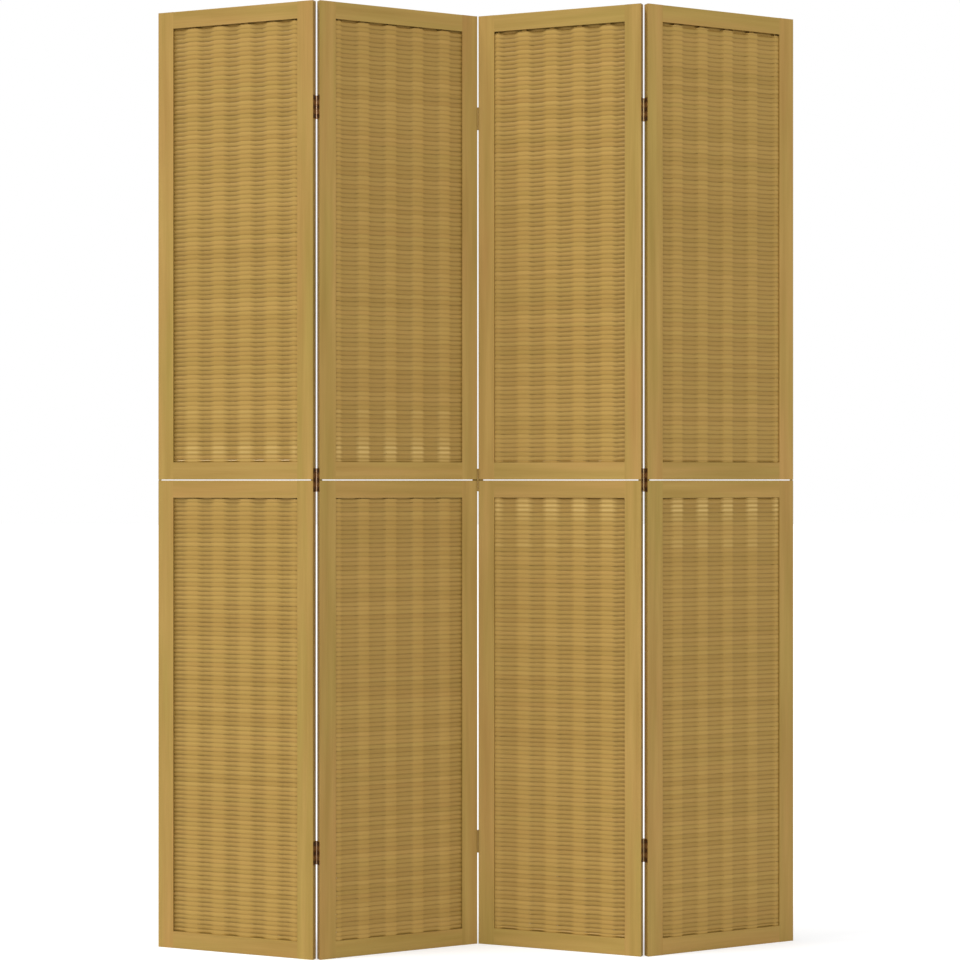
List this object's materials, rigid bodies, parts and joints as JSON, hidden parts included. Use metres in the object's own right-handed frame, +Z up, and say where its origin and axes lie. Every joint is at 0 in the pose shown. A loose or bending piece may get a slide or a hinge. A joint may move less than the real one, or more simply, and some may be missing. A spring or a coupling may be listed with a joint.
{
  "type": "folding screen",
  "caption": "Hinged wooden room screen that stands in a zigzag, with framed upper and lower tiers of flat weave.",
  "frame": {"origin": "on the floor, at the middle of the screen's footprint as it stands in its zigzag", "axes": "+Z up, +X along the line of the row of panels to the right as seen from the front, +Y to the back"},
  "size_m": [1.2336, 0.1432, 1.8],
  "materials": {
    "frame_wood": "light honey wood, clear satin lacquer",
    "woven_strips": "thin flat wood strips, clear satin lacquer",
    "hinge_metal": "very dark brown, worn satin",
    "screw_steel": "dull plated steel",
    "plate_metal": "dull brass-coloured sheet"
  },
  "bodies": {
    "panel_1": {"left_stile_1_lower": "frame_wood", "right_stile_1_lower": "frame_wood", "top_rail_1_lower": "frame_wood", "bottom_rail_1_lower": "frame_wood", "left_stile_1_upper": "frame_wood", "right_stile_1_upper": "frame_wood", "top_rail_1_upper": "frame_wood", "bottom_rail_1_upper": "frame_wood", "weave_rows_1": "woven_strips", "weave_back_1": "woven_strips", "stakes_1": "woven_strips", "screws_1": "screw_steel", "hinge_leaves_1_left": "hinge_metal", "hinge_pins_1": "screw_steel", "joining_plate_1": "plate_metal"},
    "panel_2": {"left_stile_2_lower": "frame_wood", "right_stile_2_lower": "frame_wood", "top_rail_2_lower": "frame_wood", "bottom_rail_2_lower": "frame_wood", "left_stile_2_upper": "frame_wood", "right_stile_2_upper": "frame_wood", "top_rail_2_upper": "frame_wood", "bottom_rail_2_upper": "frame_wood", "weave_rows_2": "woven_strips", "weave_back_2": "woven_strips", "stakes_2": "woven_strips", "screws_2": "screw_steel", "hinge_leaves_1_right": "hinge_metal", "hinge_leaves_2_left": "hinge_metal", "hinge_pins_2": "screw_steel"},
    "panel_3": {"left_stile_3_lower": "frame_wood", "right_stile_3_lower": "frame_wood", "top_rail_3_lower": "frame_wood", "bottom_rail_3_lower": "frame_wood", "left_stile_3_upper": "frame_wood", "right_stile_3_upper": "frame_wood", "top_rail_3_upper": "frame_wood", "bottom_rail_3_upper": "frame_wood", "weave_rows_3": "woven_strips", "weave_back_3": "woven_strips", "stakes_3": "woven_strips", "screws_3": "screw_steel", "hinge_leaves_2_right": "hinge_metal", "hinge_leaves_3_left": "hinge_metal", "hinge_pins_3": "screw_steel"},
    "panel_4": {"left_stile_4_lower": "frame_wood", "right_stile_4_lower": "frame_wood", "top_rail_4_lower": "frame_wood", "bottom_rail_4_lower": "frame_wood", "left_stile_4_upper": "frame_wood", "right_stile_4_upper": "frame_wood", "top_rail_4_upper": "frame_wood", "bottom_rail_4_upper": "frame_wood", "weave_rows_4": "woven_strips", "weave_back_4": "woven_strips", "stakes_4": "woven_strips", "screws_4": "screw_steel", "hinge_leaves_3_right": "hinge_metal", "joining_plate_4": "plate_metal"}
  },
  "joints": [
    {"name": "fold_1", "type": "hinge", "parent": "panel_1", "child": "panel_2", "pos_m": [-0.30903, -0.05819, 0.9], "axis": [0, 0, 1], "range_deg": [-47, 133]},
    {"name": "fold_2", "type": "hinge", "parent": "panel_2", "child": "panel_3", "pos_m": [0, 0.05819, 0.9], "axis": [0, 0, 1], "range_deg": [-133, 47]},
    {"name": "fold_3", "type": "hinge", "parent": "panel_3", "child": "panel_4", "pos_m": [0.30903, -0.05819, 0.9], "axis": [0, 0, 1], "range_deg": [-47, 133]}
  ]
}
